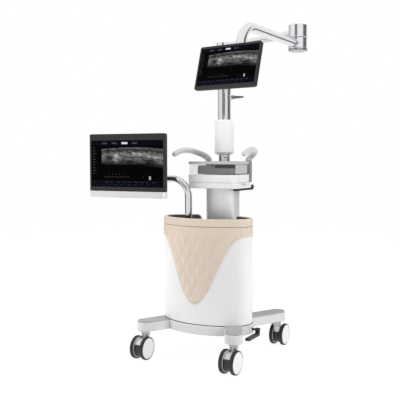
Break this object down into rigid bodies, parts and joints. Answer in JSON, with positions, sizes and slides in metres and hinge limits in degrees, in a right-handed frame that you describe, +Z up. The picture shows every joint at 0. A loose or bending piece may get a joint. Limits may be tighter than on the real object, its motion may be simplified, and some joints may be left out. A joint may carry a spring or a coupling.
{
  "type": "automated_breast_ultrasound_system",
  "caption": "Wheeled breast ultrasound stand: tub cabinet with beige shield, lift column, deck with smoked tray, main monitor on a bent tube, small monitor on an overhead arm",
  "frame": {"origin": "on the floor under the middle of the whole object's box", "axes": "+X to the right of a person who stands before the machine and faces it, +Y from that person to the machine, +Z up"},
  "size_m": [1.3277, 1.2122, 1.756],
  "materials": {
    "white_paint": "satin",
    "white_plastic": "satin",
    "beige_plastic": "satin",
    "grey_rubber": "matte",
    "grey_plastic": "satin",
    "dark_plastic": "matte",
    "dark_grey_plastic": "matte",
    "black_metal": "satin",
    "column_metal": "satin",
    "steel_plate": "satin",
    "polished_chrome": "polished",
    "polished_aluminium": "polished",
    "smoked_acrylic": "polished",
    "screen_glass": "polished",
    "unit_case": "matte",
    "tyre_rubber": "matte"
  },
  "bodies": {
    "chassis": {"base_casting": "white_paint", "leg_pads": "grey_rubber", "cabinet_shell": "white_plastic", "front_shield": "beige_plastic", "rim_band": "beige_plastic", "tub_liner": "dark_grey_plastic", "rear_housing": "white_plastic", "housing_screws": "polished_chrome", "cord_hook": "white_plastic", "power_inlet": "dark_plastic", "column_foot": "column_metal", "lift_actuator": "column_metal", "inner_frame": "steel_plate", "computer_unit": "unit_case", "power_unit": "unit_case", "arm_socket": "column_metal"},
    "pedal": {"brake_pedal": "black_metal"},
    "lift": {"lift_column": "column_metal", "actuator_rod": "polished_chrome", "deck_lower": "white_plastic", "release_lug": "column_metal", "deck_upper": "white_plastic", "smoked_tray": "smoked_acrylic", "tray_rim": "grey_plastic", "tray_insert": "dark_plastic", "rear_block": "dark_grey_plastic", "handle_left": "grey_plastic", "handle_right": "grey_plastic", "mast_neck": "polished_aluminium", "mast_sleeve": "white_plastic", "mast_pole": "polished_chrome"},
    "release": {"release_lever": "dark_plastic"},
    "turn_knob": {"neck_knob": "polished_chrome"},
    "clamp_lever": {"mast_lever": "dark_plastic"},
    "mast_slide": {"mast_inner": "polished_aluminium"},
    "arm_inner": {"link_one": "polished_aluminium"},
    "arm_outer": {"link_two": "polished_aluminium", "elbow_cap": "dark_plastic"},
    "wrist": {"wrist_swivel": "dark_grey_plastic"},
    "top_display": {"top_screen_back": "dark_plastic", "top_screen_glass": "screen_glass", "top_screen_plate": "dark_grey_plastic"},
    "monitor_tube": {"monitor_arm": "polished_aluminium"},
    "display_head": {"monitor_head": "dark_grey_plastic"},
    "main_display": {"main_screen_back": "dark_plastic", "main_screen_glass": "screen_glass", "main_screen_bar": "white_plastic", "main_screen_plate": "dark_grey_plastic"},
    "castor_fl": {"castor_fl_fork": "dark_plastic"},
    "wheels_fl": {"castor_fl_hubs": "white_plastic", "castor_fl_tyres": "tyre_rubber"},
    "castor_fr": {"castor_fr_fork": "dark_plastic"},
    "wheels_fr": {"castor_fr_hubs": "white_plastic", "castor_fr_tyres": "tyre_rubber"},
    "castor_rl": {"castor_rl_fork": "dark_plastic"},
    "wheels_rl": {"castor_rl_hubs": "white_plastic", "castor_rl_tyres": "tyre_rubber"},
    "castor_rr": {"castor_rr_fork": "dark_plastic"},
    "wheels_rr": {"castor_rr_hubs": "white_plastic", "castor_rr_tyres": "tyre_rubber"}
  },
  "joints": [
    {"name": "brake_press", "type": "hinge", "parent": "chassis", "child": "pedal", "pos_m": [0.3148, 0.1576, 0.176], "axis": [1, 0, 0], "range_deg": [0, 6], "stiffness_Nm_per_rad": 12, "springref_deg": -8.59},
    {"name": "column_lift", "type": "slide", "parent": "chassis", "child": "lift", "axis": [0, 0, 1], "range_m": [-0.06, 0.2]},
    {"name": "release_pull", "type": "hinge", "parent": "lift", "child": "release", "pos_m": [0.1428, 0.4346, 0.9245], "axis": [1, 0, 0], "range_deg": [0, 6], "stiffness_Nm_per_rad": 3, "springref_deg": -5.73},
    {"name": "knob_turn", "type": "hinge", "parent": "lift", "child": "turn_knob", "pos_m": [0.0628, 0.2956, 1.052], "axis": [0, 0, 1], "range_deg": [-90, 90]},
    {"name": "mast_clamp", "type": "hinge", "parent": "lift", "child": "clamp_lever", "pos_m": [0.0768, 0.3556, 1.43], "axis": [0, 0, 1], "range_deg": [0, 80]},
    {"name": "mast_raise", "type": "slide", "parent": "lift", "child": "mast_slide", "axis": [0, 0, 1], "range_m": [-0.04, 0.15]},
    {"name": "shoulder_swing", "type": "hinge", "parent": "mast_slide", "child": "arm_inner", "pos_m": [0.0248, 0.3556, 1.716], "axis": [0, 0, 1], "range_deg": [-90, 90]},
    {"name": "elbow_swing", "type": "hinge", "parent": "arm_inner", "child": "arm_outer", "pos_m": [0.54107, 0.15742, 1.66], "axis": [0, 0, 1], "range_deg": [-55, 70]},
    {"name": "wrist_turn", "type": "hinge", "parent": "arm_outer", "child": "wrist", "pos_m": [0.52058, -0.46024, 1.5], "axis": [0, 0, 1], "range_deg": [-120, 120]},
    {"name": "top_tilt", "type": "hinge", "parent": "wrist", "child": "top_display", "pos_m": [0.51437, -0.51388, 1.457], "axis": [0.9934, -0.1149, 0], "range_deg": [-14, 35]},
    {"name": "tube_swing", "type": "hinge", "parent": "chassis", "child": "monitor_tube", "pos_m": [-0.0912, 0.1476, 0.69], "axis": [0, 0, 1], "range_deg": [-5, 60]},
    {"name": "main_swivel", "type": "hinge", "parent": "monitor_tube", "child": "display_head", "pos_m": [-0.4282, 0.1266, 0.972], "axis": [0, 0, 1], "range_deg": [-40, 3]},
    {"name": "main_tilt", "type": "hinge", "parent": "display_head", "child": "main_display", "pos_m": [-0.42435, 0.08076, 1.0445], "axis": [0.9965, 0.0837, 0], "range_deg": [-12, 5]},
    {"name": "castor_fl_swivel", "type": "hinge", "parent": "chassis", "child": "castor_fl", "pos_m": [-0.2432, -0.0564, 0.15], "axis": [0, 0, 1], "continuous": true},
    {"name": "castor_fl_roll", "type": "hinge", "parent": "castor_fl", "child": "wheels_fl", "pos_m": [-0.2432, -0.0924, 0.0625], "axis": [1, 0, 0], "continuous": true},
    {"name": "castor_fr_swivel", "type": "hinge", "parent": "chassis", "child": "castor_fr", "pos_m": [0.2928, -0.0564, 0.15], "axis": [0, 0, 1], "continuous": true},
    {"name": "castor_fr_roll", "type": "hinge", "parent": "castor_fr", "child": "wheels_fr", "pos_m": [0.2928, -0.0924, 0.0625], "axis": [1, 0, 0], "continuous": true},
    {"name": "castor_rl_swivel", "type": "hinge", "parent": "chassis", "child": "castor_rl", "pos_m": [-0.2432, 0.5076, 0.15], "axis": [0, 0, 1], "continuous": true},
    {"name": "castor_rl_roll", "type": "hinge", "parent": "castor_rl", "child": "wheels_rl", "pos_m": [-0.2432, 0.5436, 0.0625], "axis": [1, 0, 0], "continuous": true},
    {"name": "castor_rr_swivel", "type": "hinge", "parent": "chassis", "child": "castor_rr", "pos_m": [0.2928, 0.5076, 0.15], "axis": [0, 0, 1], "continuous": true},
    {"name": "castor_rr_roll", "type": "hinge", "parent": "castor_rr", "child": "wheels_rr", "pos_m": [0.2928, 0.5436, 0.0625], "axis": [1, 0, 0], "continuous": true}
  ]
}
